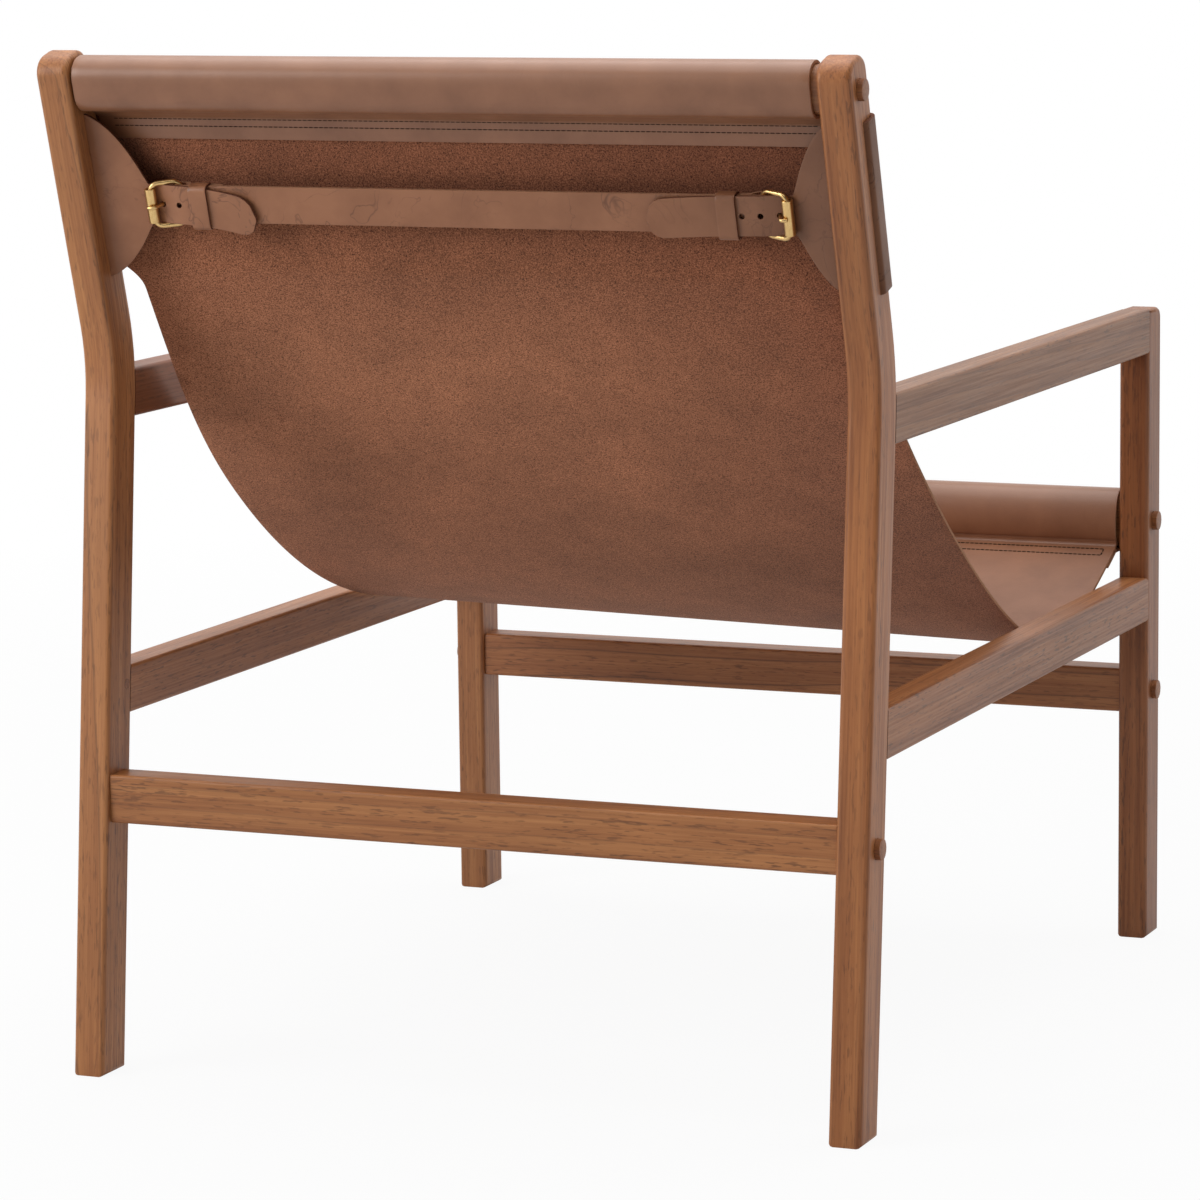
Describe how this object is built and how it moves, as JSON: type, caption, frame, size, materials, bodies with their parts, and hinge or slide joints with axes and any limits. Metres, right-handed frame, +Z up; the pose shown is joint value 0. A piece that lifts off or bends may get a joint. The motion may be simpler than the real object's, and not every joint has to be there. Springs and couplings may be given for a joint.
{
  "type": "leather sling lounge chair",
  "caption": "Low wooden lounge armchair with a leather sling hung between a top rail and a front seat rail and drawn tight behind the back by a buckled strap.",
  "frame": {"origin": "on the floor, in the middle of the chair's bounding box", "axes": "+X to the sitter's left, -Y to the front of the chair, +Z up"},
  "size_m": [0.696, 0.834, 0.838],
  "materials": {
    "wood": "oiled, open-grained, reddish brown",
    "leather": "thick brown hide, smooth on one side and suede on the other",
    "brass": "polished",
    "steel": "zinc plated"
  },
  "bodies": {
    "chair": {"left_rear_leg": "wood", "left_front_leg": "wood", "left_arm": "wood", "left_arm_front_tenon": "wood", "left_arm_rear_tenon": "wood", "left_side_rail": "wood", "left_side_rail_front_tenon": "wood", "left_side_rail_rear_tenon": "wood", "left_side_rail_peg": "wood", "right_rear_leg": "wood", "right_front_leg": "wood", "right_arm": "wood", "right_arm_front_tenon": "wood", "right_arm_rear_tenon": "wood", "right_side_rail": "wood", "right_side_rail_front_tenon": "wood", "right_side_rail_rear_tenon": "wood", "right_side_rail_peg": "wood", "top_rail": "wood", "front_seat_rail": "wood", "rear_stretcher": "wood", "front_stretcher": "wood", "left_top_rail_bolt": "steel", "left_top_rail_plug": "wood", "left_top_rail_nut": "steel", "left_front_seat_rail_bolt": "steel", "left_front_seat_rail_plug": "wood", "left_front_seat_rail_nut": "steel", "left_rear_stretcher_bolt": "steel", "left_rear_stretcher_plug": "wood", "left_rear_stretcher_nut": "steel", "left_front_stretcher_bolt": "steel", "left_front_stretcher_plug": "wood", "left_front_stretcher_nut": "steel", "right_top_rail_bolt": "steel", "right_top_rail_plug": "wood", "right_top_rail_nut": "steel", "right_front_seat_rail_bolt": "steel", "right_front_seat_rail_plug": "wood", "right_front_seat_rail_nut": "steel", "right_rear_stretcher_bolt": "steel", "right_rear_stretcher_plug": "wood", "right_rear_stretcher_nut": "steel", "right_front_stretcher_bolt": "steel", "right_front_stretcher_plug": "wood", "right_front_stretcher_nut": "steel", "leather_sling": "leather", "back_strap": "leather", "left_buckle_frame": "brass", "right_buckle_frame": "brass"},
    "left_keeper": {"left_strap_keeper": "leather"},
    "right_keeper": {"right_strap_keeper": "leather"},
    "left_roller": {"left_buckle_roller": "brass"},
    "right_roller": {"right_buckle_roller": "brass"},
    "left_prong": {"left_buckle_prong": "brass"},
    "right_prong": {"right_buckle_prong": "brass"}
  },
  "joints": [
    {"name": "left_keeper_slide", "type": "slide", "parent": "chair", "child": "left_keeper", "axis": [-1, 0, 0], "range_m": [-0.0005, 0.038]},
    {"name": "right_keeper_slide", "type": "slide", "parent": "chair", "child": "right_keeper", "axis": [1, 0, 0], "range_m": [-0.009, 0.055]},
    {"name": "left_roller_turn", "type": "hinge", "parent": "chair", "child": "left_roller", "pos_m": [0.267, 0.36792, 0.71347], "axis": [0, 0.2823, 0.9593], "continuous": true},
    {"name": "right_roller_turn", "type": "hinge", "parent": "chair", "child": "right_roller", "pos_m": [-0.276, 0.36792, 0.71347], "axis": [0, 0.2823, 0.9593], "continuous": true},
    {"name": "left_prong_turn", "type": "hinge", "parent": "chair", "child": "left_prong", "pos_m": [0.2435, 0.35862, 0.71621], "axis": [0, 0.2823, 0.9593], "range_deg": [0, 3]},
    {"name": "right_prong_turn", "type": "hinge", "parent": "chair", "child": "right_prong", "pos_m": [-0.2525, 0.35862, 0.71621], "axis": [0, -0.2823, -0.9593], "range_deg": [0, 3]}
  ]
}
